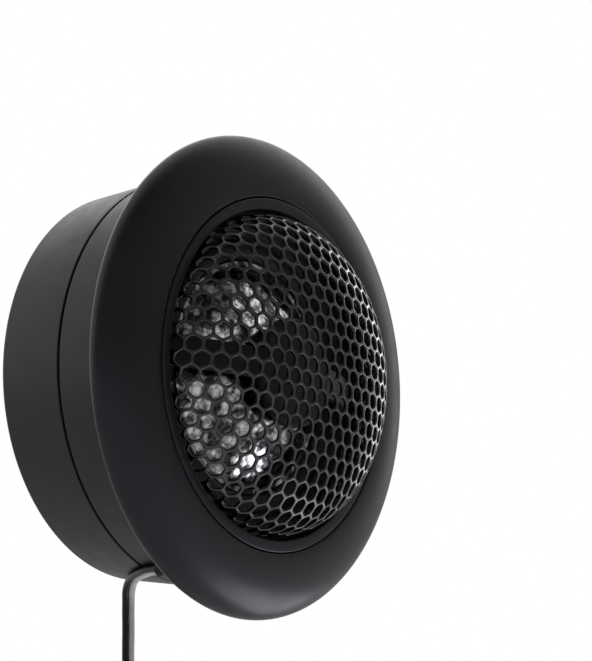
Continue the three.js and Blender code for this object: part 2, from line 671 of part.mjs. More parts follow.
add('capacitor', capacitor(), 'capacitor');
const capEnd = CAPACITOR_LENGTH / 2 + TOUCH_GAP;
add('capacitor_lead_1', tube([
  [-capEnd, CAPACITOR_DEPTH, CAPACITOR_HEIGHT],
  [-capEnd - 1.5, CAPACITOR_DEPTH, CAPACITOR_HEIGHT],
  [-capEnd - 3.0, CAPACITOR_DEPTH, CAPACITOR_HEIGHT - 0.8],
], STRAND_RADIUS, 6, 6), 'tinned');
add('capacitor_lead_2', tube([
  [capEnd, CAPACITOR_DEPTH, CAPACITOR_HEIGHT],
  [capEnd + 3.0, CAPACITOR_DEPTH, CAPACITOR_HEIGHT],
  [14.0, 5.0, 3.6],
  [16.4, 5.8, 1.0],
  [17.15, 7.2, 0],
  [17.15, TERMINAL_REAR - TOUCH_GAP, 0],
], STRAND_RADIUS, 16, 6), 'tinned');
add('inner_wire_white', tube([
  inGrommet(247.2),
  [-7.3, 11.6, -17.6],
  [-6.8, 9.4, -16.8],
  [-6.4, 6.8, -16.2],
  [-6.6, 4.9, -13.5],
  [-8.4, 4.4, -7.0],
  [-9.9, 4.5, 0],
  [-9.5, 4.7, 5.6],
], WIRE_RADIUS, 20, 6), 'white_wire');
add('inner_wire_black', tube([
  inGrommet(244.0),
  [-8.6, 11.6, -17.1],
  [-8.4, 9.4, -16.1],
  [-8.4, 6.8, -15.3],
  [-9.6, 5.2, -11.5],
  [-12.6, 5.0, -6.0],
  [-15.9, 5.8, -1.8],
  [-17.15, 7.0, -0.2],
  [-17.15, TERMINAL_REAR - TOUCH_GAP, 0],
], WIRE_RADIUS, 20, 6), 'black_wire');

add('lead_grommet', leadGrommet(), 'rubber');
add('lead_upper', tube(LEAD_ROUTE, LEAD_RADIUS, 24), 'black_wire');
add('lead_coil', leadCoil(), 'black_wire');
add('lead_tie', leadTie(), 'rubber');
const tail = [[TAIL_X, LEAD_END_DEPTH, TAIL_TOP], [TAIL_X, LEAD_END_DEPTH, TAIL_END]];
add('lead_tail', tube(tail, LEAD_RADIUS, 3), 'black_wire');
for (const [name, side] of [['wire_end_black', -1], ['wire_end_white', 1]]) {
  const x = TAIL_X + side * WIRE_RADIUS;
  const top = TAIL_END - TOUCH_GAP;
  const strands = [[x, LEAD_END_DEPTH, top], [x, LEAD_END_DEPTH, top - WIRE_END_LENGTH]];
  add(name, tube(strands, STRAND_RADIUS, 2), 'tinned');
}

export default tweeter;
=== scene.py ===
"""Looks of the car tweeter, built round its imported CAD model. Metres, +Z up, the grille faces -Y."""

import math

import bmesh
import bpy
import numpy as np
from mathutils import Matrix, Vector


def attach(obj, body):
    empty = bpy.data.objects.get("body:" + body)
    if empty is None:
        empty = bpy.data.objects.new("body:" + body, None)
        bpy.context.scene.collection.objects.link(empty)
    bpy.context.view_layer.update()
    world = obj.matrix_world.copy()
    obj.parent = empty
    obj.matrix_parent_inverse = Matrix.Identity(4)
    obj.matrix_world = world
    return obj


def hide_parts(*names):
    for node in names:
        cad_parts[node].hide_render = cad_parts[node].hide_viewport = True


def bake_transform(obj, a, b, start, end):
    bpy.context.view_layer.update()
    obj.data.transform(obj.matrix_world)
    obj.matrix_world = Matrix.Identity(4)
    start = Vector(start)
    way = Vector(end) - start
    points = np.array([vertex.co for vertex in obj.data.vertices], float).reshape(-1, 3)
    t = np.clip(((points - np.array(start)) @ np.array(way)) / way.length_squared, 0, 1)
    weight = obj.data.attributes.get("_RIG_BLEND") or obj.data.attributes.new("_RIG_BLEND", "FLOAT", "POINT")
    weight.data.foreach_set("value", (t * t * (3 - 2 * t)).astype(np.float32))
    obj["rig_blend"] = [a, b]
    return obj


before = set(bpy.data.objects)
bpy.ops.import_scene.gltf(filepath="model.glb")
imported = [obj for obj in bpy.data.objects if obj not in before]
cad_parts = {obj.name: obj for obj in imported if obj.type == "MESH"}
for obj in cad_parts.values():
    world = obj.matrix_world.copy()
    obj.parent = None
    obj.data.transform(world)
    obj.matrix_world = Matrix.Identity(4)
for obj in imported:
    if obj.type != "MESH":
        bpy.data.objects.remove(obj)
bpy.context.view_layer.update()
MM = 0.001

# ---- camera -----------------------------------------------------------------------------------
CAMERA_AZIMUTH = -52.77
CAMERA_ELEVATION = -8.0
CAMERA_DISTANCE = 300 * MM
CAMERA_RIGHT = 18.70 * MM
CAMERA_UP = 6.62 * MM
CAMERA_LENS = 141.5


def direction(azimuth, elevation):
    """Unit vector, its azimuth in degrees counted from the front (-Y) towards +X."""
    a, e = math.radians(azimuth), math.radians(elevation)
    return (math.sin(a) * math.cos(e), -math.cos(a) * math.cos(e), math.sin(e))


def make_camera():
    azimuth = math.radians(CAMERA_AZIMUTH)
    back = Vector(direction(CAMERA_AZIMUTH, CAMERA_ELEVATION))
    right = Vector((math.cos(azimuth), math.sin(azimuth), 0))
    up = back.cross(right)
    data = bpy.data.cameras.new("camera")
    data.lens = CAMERA_LENS
    data.clip_start, data.clip_end = 0.01, 20
    camera = bpy.data.objects.new("camera", data)
    bpy.context.scene.collection.objects.link(camera)
    camera.location = back * CAMERA_DISTANCE + right * CAMERA_RIGHT + up * CAMERA_UP
    camera.rotation_euler = Matrix((right, up, back)).transposed().to_euler()
    bpy.context.scene.camera = camera


# ---- mesh helpers -----------------------------------------------------------------------------
def link(name, vertices, faces, material=None, crease=None):
    """A new smooth-shaded object from vertices in metres."""
    mesh = bpy.data.meshes.new(name)
    mesh.from_pydata([tuple(v) for v in vertices], [], faces)
    mesh.update()
    piece = bpy.data.objects.new(name, mesh)
    bpy.context.scene.collection.objects.link(piece)
    if material:
        mesh.materials.append(material)
    smooth(piece, crease)
    return piece


def smooth(piece, crease=None):
    """Smooth shading, with edges sharper than crease degrees left hard."""
    mesh = piece.data
    mesh.polygons.foreach_set("use_smooth", [True] * len(mesh.polygons))
    if crease:
        mesh.set_sharp_from_angle(angle=math.radians(crease))


def arc(centre, radius, start, end, steps):
    """Points [radius, depth] on an arc, angles in degrees from outward (0) to forward (90)."""
    angles = np.radians(np.linspace(start, end, steps + 1))
    return [[centre[0] + radius * math.cos(a), centre[1] + radius * math.sin(a)] for a in angles]


def turned(name, outline, material, segments=160, crease=40):
    """A body turned about the axis from a closed outline of [radius, depth] points in mm."""
    area = sum(a[0] * b[1] - b[0] * a[1] for a, b in zip(outline, outline[1:] + outline[:1]))
    if area < 0:
        outline = outline[::-1]
    vertices, rings = [], []
    for radius, depth in outline:
        if radius < 1e-6:
            vertices.append((0, -depth * MM, 0))
            rings.append([len(vertices) - 1] * segments)
            continue
        ring = []
        for i in range(segments):
            angle = 2 * math.pi * i / segments
            vertices.append((radius * math.cos(angle) * MM, -depth * MM, radius * math.sin(angle) * MM))
            ring.append(len(vertices) - 1)
        rings.append(ring)
    faces = []
    for a, b in zip(rings, rings[1:] + rings[:1]):
        for i in range(segments):
            j = (i + 1) % segments
            corners = [a[i], a[j], b[j], b[i]]
            unique = [c for k, c in enumerate(corners) if c != corners[k - 1]]
            if len(unique) > 2 and len(set(unique)) > 2:
                faces.append(unique)
    return link(name, vertices, faces, material, crease)


def round_section(centre, tangent, side, radius, count):
    """Points in metres on a circle across tangent, from a centre and radius in mm."""
    other = np.cross(tangent, side)
    angles = np.linspace(0, 2 * math.pi, count, endpoint=False)
    return [(centre + radius * (math.cos(a) * side + math.sin(a) * other)) * MM for a in angles]


def swept(sections):
    """Vertices and faces of a closed tube through sections, each a closed loop of points."""
    vertices, faces = [], []
    count = len(sections[0])
    for section in sections:
        vertices += section
    for k in range(len(sections) - 1):
        for i in range(count):
            j = (i + 1) % count
            faces.append([k * count + i, k * count + j, (k + 1) * count + j, (k + 1) * count + i])
    faces.append(list(range(count))[::-1])
    faces.append([(len(sections) - 1) * count + i for i in range(count)])
    return vertices, faces


def apply_modifiers(piece):
    bpy.context.view_layer.update()
    evaluated = piece.evaluated_get(bpy.context.evaluated_depsgraph_get())
    mesh = bpy.data.meshes.new_from_object(evaluated)
    old = piece.data
    piece.modifiers.clear()
    piece.data = mesh
    bpy.data.meshes.remove(old)


def fix_normals(piece):
    work = bmesh.new()
    work.from_mesh(piece.data)
    bmesh.ops.recalc_face_normals(work, faces=work.faces)
    work.to_mesh(piece.data)
    work.free()


def round_edges(piece, width):
    modifier = piece.modifiers.new("round", "BEVEL")
    modifier.width = width
    modifier.segments = 3
    modifier.limit_method = "ANGLE"
    apply_modifiers(piece)


def boolean(piece, cutter, operation="DIFFERENCE"):
    modifier = piece.modifiers.new("cut", "BOOLEAN")
    modifier.operation = operation
    modifier.solver = "EXACT"
    modifier.object = cutter
    apply_modifiers(piece)
    bpy.data.objects.remove(cutter)


# ---- materials --------------------------------------------------------------------------------
NOISE_LOW, NOISE_HIGH = 0.3, 0.7


def new_material(name):
    material = bpy.data.materials.new(name)
    material.use_nodes = True
    tree = material.node_tree
    shader = tree.nodes["Principled BSDF"]
    return material, tree, shader


def noise(tree, scale, detail):
    """Noise over the object's own coordinates, which are in metres."""
    place = tree.nodes.new("ShaderNodeTexCoord")
    texture = tree.nodes.new("ShaderNodeTexNoise")
    texture.inputs["Scale"].default_value = scale
    texture.inputs["Detail"].default_value = detail
    tree.links.new(place.outputs["Object"], texture.inputs["Vector"])
    return texture.outputs["Fac"]


def ramp(tree, value, low, high, start=NOISE_LOW, end=NOISE_HIGH):
    """A colour that goes from low to high as value goes from start to end."""
    node = tree.nodes.new("ShaderNodeValToRGB")
    node.color_ramp.elements[0].position = start
    node.color_ramp.elements[1].position = end
    node.color_ramp.elements[0].color = (*low, 1)
    node.color_ramp.elements[1].color = (*high, 1)
    tree.links.new(value, node.inputs["Fac"])
    return node.outputs["Color"]


def spread(tree, value, low, high):
    """A number that goes from low to high over the usual range of a noise."""
    node = tree.nodes.new("ShaderNodeMapRange")
    node.inputs["To Min"].default_value = low
    node.inputs["To Max"].default_value = high
    node.inputs["From Min"].default_value = NOISE_LOW
    node.inputs["From Max"].default_value = NOISE_HIGH
    tree.links.new(value, node.inputs["Value"])
    return node.outputs["Result"]


def bump(tree, shader, height, distance):
    node = tree.nodes.new("ShaderNodeBump")
    node.inputs["Distance"].default_value = distance
    tree.links.new(height, node.inputs["Height"])
    tree.links.new(node.outputs["Normal"], shader.inputs["Normal"])


def plastic(name, dark, light, rough, grain=9000, grain_depth=0.004 * MM, ior=1.46, sheen=(1, 1, 1)):
    """Moulded plastic: fine grain, faint cloudiness in its colour and in its gloss."""
    material, tree, shader = new_material(name)
    tree.links.new(ramp(tree, noise(tree, 160, 4), dark, light), shader.inputs["Base Color"])
    tree.links.new(spread(tree, noise(tree, 420, 3), rough[0], rough[1]), shader.inputs["Roughness"])
    shader.inputs["IOR"].default_value = ior
    shader.inputs["Specular Tint"].default_value = (*sheen, 1)
    bump(tree, shader, noise(tree, grain, 2), grain_depth)
    return material


def metal(
    name, dark, light, rough, grain=3000, grain_depth=0.002 * MM, tone_and_painted_reflection_scale=300, tone_and_painted_reflection_fade=(NOISE_LOW, NOISE_HIGH),
):
    """Metal: fine grain, and a colour that goes from dark to light over a noise (random tone on most metals,
    painted reflection and painted highlights on the dome foil), sharper with a narrower fade.
    """
    material, tree, shader = new_material(name)
    tree.links.new(ramp(tree, noise(tree, tone_and_painted_reflection_scale, 4), dark, light, *tone_and_painted_reflection_fade), shader.inputs["Base Color"])
    tree.links.new(spread(tree, noise(tree, 700, 3), rough[0], rough[1]), shader.inputs["Roughness"])
    shader.inputs["Metallic"].default_value = 1.0
    bump(tree, shader, noise(tree, grain, 2), grain_depth)
    return material


MATERIALS = {
    "housing": plastic("housing_plastic", (0.0075, 0.0070, 0.0062), (0.0105, 0.0098, 0.0088), (0.36, 0.44)),
    "bezel": plastic(
        "bezel_plastic", (0.0058, 0.0055, 0.0074), (0.0082, 0.0078, 0.0104), (0.30, 0.36),
        ior=1.50, sheen=(0.88, 0.86, 1.0),
    ),
    "mesh": metal("mesh_paint", (0.075, 0.075, 0.080), (0.115, 0.115, 0.122), (0.16, 0.24)),
    "inner": plastic("inner_plastic", (0.003, 0.003, 0.003), (0.005, 0.005, 0.005), (0.55, 0.65)),
    # The dome foil's base colour is painted reflection: sharp blotches from near-black to near-white stand
    # in for the grille's dark reflection and for highlights in the cells.
    "dome": metal(
        "dome_foil", (0.06, 0.06, 0.065), (0.94, 0.94, 0.95), (0.09, 0.16), 800, 0.035 * MM,
        tone_and_painted_reflection_scale=700, tone_and_painted_reflection_fade=(0.45, 0.62),
    ),
    "surround": plastic("surround_film", (0.006, 0.006, 0.006), (0.009, 0.009, 0.009), (0.5, 0.6)),
    "former": plastic("former_film", (0.42, 0.20, 0.06), (0.50, 0.26, 0.08), (0.35, 0.45)),
    "copper": metal("coil_copper", (0.62, 0.26, 0.11), (0.78, 0.36, 0.17), (0.25, 0.35)),
    "steel": metal("motor_steel", (0.52, 0.53, 0.55), (0.66, 0.67, 0.68), (0.28, 0.42)),
    "magnet": metal("magnet_nickel", (0.66, 0.65, 0.62), (0.76, 0.75, 0.72), (0.12, 0.22)),
    "felt": plastic("felt_grey", (0.05, 0.05, 0.048), (0.09, 0.09, 0.086), (0.9, 1.0), 2500, 0.05 * MM),
    "foam": plastic("foam_black", (0.012, 0.012, 0.013), (0.022, 0.022, 0.024), (0.9, 1.0), 3500, 0.05 * MM),
    "brass": metal("terminal_brass", (0.72, 0.52, 0.20), (0.84, 0.64, 0.28), (0.2, 0.3)),
    "tinned": metal("tinned_wire", (0.66, 0.66, 0.68), (0.80, 0.80, 0.82), (0.22, 0.34)),
    "capacitor": plastic("capacitor_sleeve", (0.008, 0.05, 0.18), (0.012, 0.07, 0.24), (0.25, 0.35)),
    "black_wire": plastic("wire_black", (0.0025, 0.0025, 0.0025), (0.0045, 0.0045, 0.0045), (0.34, 0.44)),
    "white_wire": plastic("wire_white", (0.62, 0.62, 0.60), (0.74, 0.74, 0.72), (0.28, 0.38)),
    "rubber": plastic("grommet_rubber", (0.006, 0.006, 0.006), (0.010, 0.010, 0.010), (0.6, 0.75)),
    "screw": metal("screw_black", (0.05, 0.05, 0.052), (0.09, 0.09, 0.092), (0.3, 0.42)),
}
CAD_LOOKS = {
    "capsule_screw_1": "screw", "capsule_screw_2": "screw", "capsule_screw_3": "screw",
    "terminal_positive": "brass", "terminal_negative": "brass",
    "capacitor_lead_1": "tinned", "capacitor_lead_2": "tinned",
    "inner_wire_white": "white_wire", "inner_wire_black": "black_wire",
    "housing_screw_1": "screw", "housing_screw_2": "screw", "housing_screw_3": "screw",
    "capacitor": "capacitor", "chassis": "inner", "foam_gasket": "foam", "damping_pad": "felt",
    "yoke_cup": "steel", "magnet": "magnet", "pole_plate": "steel", "voice_coil": "copper",
    "voice_coil_former": "former", "diaphragm_ring": "inner",
    "wire_end_black": "tinned", "wire_end_white": "tinned",
}


def dress_cad_nodes():
    """Give each CAD node that no piece replaces its material."""
    for node, look in CAD_LOOKS.items():
        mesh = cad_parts[node].data
        mesh.materials.clear()
        mesh.materials.append(MATERIALS[look])


def stand_for(piece, body, look, *nodes):
    """The piece rides on a body in place of CAD nodes; look is not used."""
    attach(piece, body)
    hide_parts(*nodes)
    return piece


# ---- housing: radii and depths in mm, depth 0 at the rear face ---------------------------------
CUP_REAR_RADIUS = 22.2
CUP_SEAM_RADIUS = 23.05
SEAM_DEPTH = 9.1
SEAM_GAP = 0.25
HOUSING_FRONT_RADIUS = 23.8
HOUSING_FRONT = 16.6
REAR_ROUND = 0.6
EDGE_ROUND = 0.12
CUP_THICKNESS = 1.4
CUP_FLOOR = 2.0
SUPPORT_RING = 0.1
SEAM_LAP = 0.03
CUP_WALL = ([CUP_REAR_RADIUS, REAR_ROUND], [CUP_SEAM_RADIUS, SEAM_DEPTH - EDGE_ROUND])
FRONT_WALL = ([CUP_SEAM_RADIUS, SEAM_DEPTH + SEAM_GAP + EDGE_ROUND], [HOUSING_FRONT_RADIUS, HOUSING_FRONT])
SCREW_ANGLES = (90, 210, 330)
SCREW_CIRCLE = 19.0
COUNTERBORE_RADIUS = 2.05
COUNTERBORE_DEPTH = 1.4
BORE_RADIUS = 1.2


def on_cone(wall, depth):
    """A [radius, depth] point on a straight wall between two such points."""
    (r0, d0), (r1, d1) = wall
    return [r0 + (r1 - r0) * (depth - d0) / (d1 - d0), depth]


def pin(name, angle, radius, start, end):
    """A round cutter along the axis at a screw's place, between two depths in mm."""
    outline = [[0, start], [radius, start], [radius, end], [0, end]]
    body = turned(name, outline, None, 48)
    turn = math.radians(angle)
    across, height = SCREW_CIRCLE * math.cos(turn), SCREW_CIRCLE * math.sin(turn)
    body.data.transform(Matrix.Translation((across * MM, 0, height * MM)))
    return body


def make_rear_cup():
    outline = [[0, 0]]
    outline += arc([CUP_REAR_RADIUS - REAR_ROUND, REAR_ROUND], REAR_ROUND, -90, 4, 8)
    outline += [on_cone(CUP_WALL, 0.75), on_cone(CUP_WALL, SEAM_DEPTH - EDGE_ROUND - SUPPORT_RING)]
    outline += arc([CUP_SEAM_RADIUS - EDGE_ROUND, SEAM_DEPTH - EDGE_ROUND], EDGE_ROUND, 0, 90, 3)
    outline += [
        [CUP_SEAM_RADIUS - CUP_THICKNESS, SEAM_DEPTH],
        [CUP_REAR_RADIUS - CUP_THICKNESS, CUP_FLOOR], [0, CUP_FLOOR],
    ]
    cup = turned("rear_cup_shell", outline, MATERIALS["housing"])
    for angle in SCREW_ANGLES:
        boolean(cup, pin("counterbore", angle, COUNTERBORE_RADIUS, -1.0, COUNTERBORE_DEPTH))
        boolean(cup, pin("bore", angle, BORE_RADIUS, COUNTERBORE_DEPTH - 0.2, 3.0))
    smooth(cup, 40)
    return stand_for(cup, "housing", "housing", "rear_cup")


def make_front_housing():
    rear = SEAM_DEPTH + SEAM_GAP
    outline = arc([CUP_SEAM_RADIUS - EDGE_ROUND, rear + EDGE_ROUND], EDGE_ROUND, -90, 0, 3)
    outline += [
        on_cone(FRONT_WALL, rear + EDGE_ROUND + SUPPORT_RING), [HOUSING_FRONT_RADIUS, HOUSING_FRONT],
        [22.4, HOUSING_FRONT], [22.4, 19.2], [21.2, 19.2], [21.2, 14.6], [17.6, 14.6],
        [17.6, 13.2], [20.0, 13.2], [20.0, 7.6], [21.15, 7.6],
        [21.15, SEAM_DEPTH + SEAM_LAP], [22.80, SEAM_DEPTH + SEAM_LAP], [22.80, rear],
    ]
    housing = turned("front_housing_shell", outline, MATERIALS["housing"])
    return stand_for(housing, "housing", "housing", "front_housing")


BEZEL_RADIUS = 27.0
BEZEL_REAR = 16.7
BEZEL_ROUND = 0.85
BEZEL_FRONT = 20.9
BEZEL_BORE = 19.75
BORE_ROUND = 0.25


def make_bezel():
    rim = BEZEL_REAR + BEZEL_ROUND
    flat = BEZEL_BORE + BORE_ROUND
    outline = arc([flat, BEZEL_FRONT - BORE_ROUND], BORE_ROUND, 180, 90, 4)
    for angle in np.radians(np.linspace(2, 90, 40)):
        radius = flat + (BEZEL_RADIUS - flat) * math.sin(angle)
        outline.append([radius, rim + (BEZEL_FRONT - rim) * math.cos(angle)])
    outline += arc([BEZEL_RADIUS - BEZEL_ROUND, rim], BEZEL_ROUND, -8, -90, 10)
    outline += [[22.65, BEZEL_REAR], [22.65, 19.45], [20.95, 19.45], [20.95, 15.0], [BEZEL_BORE, 15.0]]
    bezel = turned("bezel_moulding", outline, MATERIALS["bezel"], 256)
    return stand_for(bezel, "housing", "bezel", "bezel_ring")


# ---- grille -----------------------------------------------------------------------------------
GRILLE_RADIUS = 19.66
GRILLE_OPENING = 18.35
GRILLE_REAR = 18.75
CAPSULE_TURN = 4.7
MESH_RADIUS = 17.95
MESH_BASE = 19.0
MESH_HEIGHT = 9.2
MESH_POWER = 2.5
MESH_THICKNESS = 0.45
HOLE_PITCH = 1.868
HOLE_START = (0.82, -0.10)
ROW_SPREAD = 1.03
BAR_WIDTH = 0.31
BAR_EDGE = 0.10
BAR_BREAK = 0.03
HOLE_POINTS = 18
CORNER_POWER = 16.0
CORNER_REACH = 1.12
MESH_TURN = 5.4
RIM_STRETCH = 0.05
STRETCH_REACH = 20.0
RIM_KEEP = 0.45
RIM_CLOSED = 0.30


def make_grille_ring():
    outline = arc([GRILLE_RADIUS - 0.15, BEZEL_FRONT - 0.15], 0.15, 0, 90, 4)
    outline += arc([GRILLE_OPENING + 0.22, BEZEL_FRONT - 0.22], 0.22, 90, 180, 5)
    outline += [[GRILLE_OPENING, GRILLE_REAR], [GRILLE_RADIUS, GRILLE_REAR]]
    ring = turned("grille_retainer", outline, MATERIALS["bezel"], 200)
    return stand_for(ring, "housing", "bezel", "grille_ring")


def dome_profile(steps=4000):
    """Arc length, radius and depth along the mesh's outer surface, from the axis to its rim."""
    angle = np.linspace(0, math.pi / 2, steps)
    radius = MESH_RADIUS * np.sin(angle) ** (2 / MESH_POWER)
    depth = MESH_BASE + MESH_HEIGHT * np.cos(angle) ** (2 / MESH_POWER)
    along = np.concatenate([[0], np.cumsum(np.hypot(np.diff(radius), np.diff(depth)))])
    return along, radius, depth


def cell_outline():
    """Points round one hexagonal cell of the flat sheet."""
    corner = np.radians(30 + 60 * np.arange(6))
    corners = np.stack([np.cos(corner), np.sin(corner)], 1) * HOLE_PITCH / math.sqrt(3)
    per_edge = HOLE_POINTS // 6
    return np.array([
        corners[k] + (corners[(k + 1) % 6] - corners[k]) * i / per_edge
        for k in range(6) for i in range(per_edge)
    ])


def hole_outline(cell, inset):
    """The cell drawn in by inset, with its corners rounded."""
    angles = np.arctan2(cell[:, 1], cell[:, 0])
    reach = np.hypot(cell[:, 0], cell[:, 1])
    inner = HOLE_PITCH / 2 - inset
    straight = reach * inner / (HOLE_PITCH / 2)
    rounded = (straight ** -CORNER_POWER + (inner * CORNER_REACH) ** -CORNER_POWER) ** (-1 / CORNER_POWER)
    return np.stack([np.cos(angles), np.sin(angles)], 1) * rounded[:, None]


def cell_centres(flat_radius):
    """Centres of the cells that reach into the flat sheet, row by row."""
    rows = int(flat_radius / (HOLE_PITCH * math.sqrt(3) / 2)) + 2
    for row in range(-rows, rows + 1):
        for column in range(-rows * 2, rows * 2 + 1):
            centre = np.array([HOLE_PITCH * (column + row / 2), HOLE_PITCH * row * math.sqrt(3) / 2])
            centre = centre * (1, ROW_SPREAD) + HOLE_START
            if np.hypot(*centre) <= flat_radius + HOLE_PITCH * RIM_KEEP:
                yield centre


def make_mesh():
    """The perforated dome: a flat sheet of hexagonal cells, laid along the dome's profile."""
    along, radii, depths = dome_profile()
    slope_r, slope_d = np.gradient(radii, along), np.gradient(depths, along)
    flats = along / (1 + RIM_STRETCH * (along / STRETCH_REACH) ** 2)
    flat_radius = flats[-1]
    turn = math.radians(MESH_TURN)

    def on_dome(flat, sink):
        """Places of flat sheet points on the dome, sunk below its outer surface, in metres."""
        out = np.hypot(flat[:, 0], flat[:, 1])
        at = np.interp(out, flats, along)
        radius, depth = np.interp(at, along, radii), np.interp(at, along, depths)
        dr, dd = np.interp(at, along, slope_r), np.interp(at, along, slope_d)
        size = np.maximum(np.hypot(dr, dd), 1e-9)
        radius = radius + sink * dd / size
        depth = depth - sink * dr / size
        angle = np.arctan2(flat[:, 1], flat[:, 0]) - turn
        return np.stack([radius * np.cos(angle), -depth, radius * np.sin(angle)], 1) * MM

    cell = cell_outline()
    half = BAR_WIDTH / 2
    edge, brink, wall = (hole_outline(cell, half - BAR_EDGE), hole_outline(cell, half - BAR_BREAK),
                         hole_outline(cell, half))
    open_rings = [(cell, 0), (edge, 0), (brink, BAR_BREAK), (wall, BAR_EDGE),
                  (wall, MESH_THICKNESS - BAR_EDGE), (edge, MESH_THICKNESS), (cell, MESH_THICKNESS)]
    closed_rings = [(cell, 0), (cell * 0.02, 0)]

    vertices, faces = [], []
    for centre in cell_centres(flat_radius):
        is_open = np.hypot(*centre) < flat_radius - HOLE_PITCH * RIM_CLOSED
        rings = open_rings if is_open else closed_rings
        start = len(vertices)
        for outline, sink in rings:
            vertices += list(on_dome(centre + outline * (1, ROW_SPREAD), sink))
        for k in range(len(rings) - 1):
            for i in range(HOLE_POINTS):
                j = (i + 1) % HOLE_POINTS
                a, b = start + k * HOLE_POINTS, start + (k + 1) * HOLE_POINTS
                faces.append([a + i, b + i, b + j, a + j])
        if not is_open:
            faces.append([start + HOLE_POINTS + i for i in range(HOLE_POINTS)][::-1])
    grille = link("grille_perforated", vertices, faces, MATERIALS["mesh"])
    work = bmesh.new()
    work.from_mesh(grille.data)
    bmesh.ops.remove_doubles(work, verts=work.verts, dist=0.004 * MM)
    bmesh.ops.dissolve_degenerate(work, edges=work.edges, dist=0.002 * MM)
    bmesh.ops.recalc_face_normals(work, faces=work.faces)
    work.to_mesh(grille.data)
    work.free()
    smooth(grille, 50)
    return stand_for(grille, "housing", "mesh", "grille_mesh")


# ---- faceplate and diaphragm ------------------------------------------------------------------
BRIDGE_HALF_WIDTH = 1.65
BRIDGE_ROUND = 0.2


def make_faceplate():
    """The ring round the diaphragm, the bar across it and the disc at its middle."""
    plate = turned("faceplate_bridge", [
        [15.7, 16.75], [19.3, 16.75], [19.3, 18.0], [18.0, 18.0], [16.1, 17.25],
    ], MATERIALS["inner"])
    disc = turned("disc", [
        [0, 22.5], *arc([5.9, 22.7], 0.2, -90, 0, 3), *arc([5.6, 23.1], 0.5, 0, 90, 5), [0, 23.8],
    ], MATERIALS["inner"], 96)
    boolean(plate, disc, "UNION")
    outer = [[17.5, 17.3], [16.9, 18.4], [13.4, 20.6], [10.2, 22.3], [5.6, 23.5]]
    inner = [[16.3, 17.2], [15.6, 18.0], [12.9, 19.5], [9.8, 21.3], [5.6, 22.6]]
    loop = outer + [[-x, d] for x, d in outer[::-1]] + [[-x, d] for x, d in inner] + inner[::-1]
    vertices = [(x * MM, -d * MM, side * BRIDGE_HALF_WIDTH * MM) for side in (-1, 1) for x, d in loop]
    count = len(loop)
    faces = [list(range(count)), [count + i for i in range(count)][::-1]]
    faces += [[i, i + count, (i + 1) % count + count, (i + 1) % count] for i in range(count)]
    bar = link("bar", vertices, faces, MATERIALS["inner"])
    fix_normals(bar)
    round_edges(bar, BRIDGE_ROUND * MM)
    boolean(plate, bar, "UNION")
    plate.data.transform(Matrix.Rotation(math.radians(CAPSULE_TURN), 4, "Y"))
    smooth(plate, 35)
    return stand_for(plate, "housing", "inner", "faceplate")


DOME_RADIUS = 12.5
DOME_BASE = 16.7
DOME_HEIGHT = 5.0
DOME_SKIN = 0.3
DOME_FLANGE = 13.0


def cap(radius, base, height, steps=40):
    """Points [radius, depth] on a shallow spherical cap, from its top to its edge."""
    ball = (radius ** 2 + height ** 2) / (2 * height)
    across = np.linspace(0, radius, steps + 1)
    return [[r, base + height - ball + math.sqrt(ball ** 2 - r ** 2)] for r in across]


def make_dome():
    outline = cap(DOME_RADIUS, DOME_BASE, DOME_HEIGHT)
    rear = DOME_BASE - DOME_SKIN
    outline += [[DOME_FLANGE, DOME_BASE], [DOME_FLANGE, rear], [DOME_RADIUS - DOME_SKIN, rear]]
    outline += cap(DOME_RADIUS - DOME_SKIN, DOME_BASE, DOME_HEIGHT - DOME_SKIN)[::-1]
    dome = turned("dome_foil_cap", outline, MATERIALS["dome"], 128)
    return stand_for(dome, "diaphragm", "dome", "dome_diaphragm")


ROLL_INNER = 13.2
ROLL_OUTER = 15.5


def make_surround():
    """The half roll between the dome's flange and the ring, blended between the two bodies by radius."""
    centre, rear = [14.32, 16.35], 16.35
    outline = arc(centre, 1.17, 180, 10, 24) + [[15.55, 16.6], [16.6, 16.6], [16.6, rear], [15.24, rear]]
    outline += arc(centre, 0.92, 0, 180, 20)
    roll = turned("surround_roll", outline, MATERIALS["surround"], 128)
    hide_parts("surround")
    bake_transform(roll, "housing", "diaphragm", (0, 0, ROLL_OUTER * MM), (0, 0, ROLL_INNER * MM))
    weights = roll.data.attributes["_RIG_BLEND"]
    for vertex, weight in zip(roll.data.vertices, weights.data):
        radius = math.hypot(vertex.co.x, vertex.co.z) / MM
        weight.value = 1 - ease((radius - ROLL_INNER) / (ROLL_OUTER - ROLL_INNER))
    return roll


# ---- lead -------------------------------------------------------------------------------------
BOOT_RADIUS = 0.8
BOOT_AXIS = ((13.7, 245.0, -0.5), (13.2, 245.1, 0.0), (12.7, 245.3, 0.3), (12.2, 245.6, 0.42))
WIRE_RADIUS = 0.37
WIRE_SIDES = 12
WIRE_TOUCH = 0.985
BOOT_SIDES = 24
LEAD_HEIGHT = 0.42
COIL_CENTRE = (-3.5, 2.5, -47.3)
OUTER_TURN_RADIUS = 8.1
INNER_TURN_RADIUS = 6.4
ENTRY_BEND = 3.2
COIL_TURNS = 6
FIRST_LAY = -1.55
LAY_FORWARD = 1.12
LAY_BACK = 1.28
OUTER_TURNS = 3.2
LAY_OUT = 0.75
TAIL_X = -11.7
TAIL_END = -62.3
POINT_GAP = 0.45
HANGING_SIDE = (0.885, -0.466, 0.0)
TIE_ROUND = 0.2


def wall_radius(depth):
    if depth < SEAM_DEPTH:
        return CUP_REAR_RADIUS + (CUP_SEAM_RADIUS - CUP_REAR_RADIUS) * depth / SEAM_DEPTH
    part = (depth - SEAM_DEPTH) / (HOUSING_FRONT - SEAM_DEPTH)
    return CUP_SEAM_RADIUS + (HOUSING_FRONT_RADIUS - CUP_SEAM_RADIUS) * part


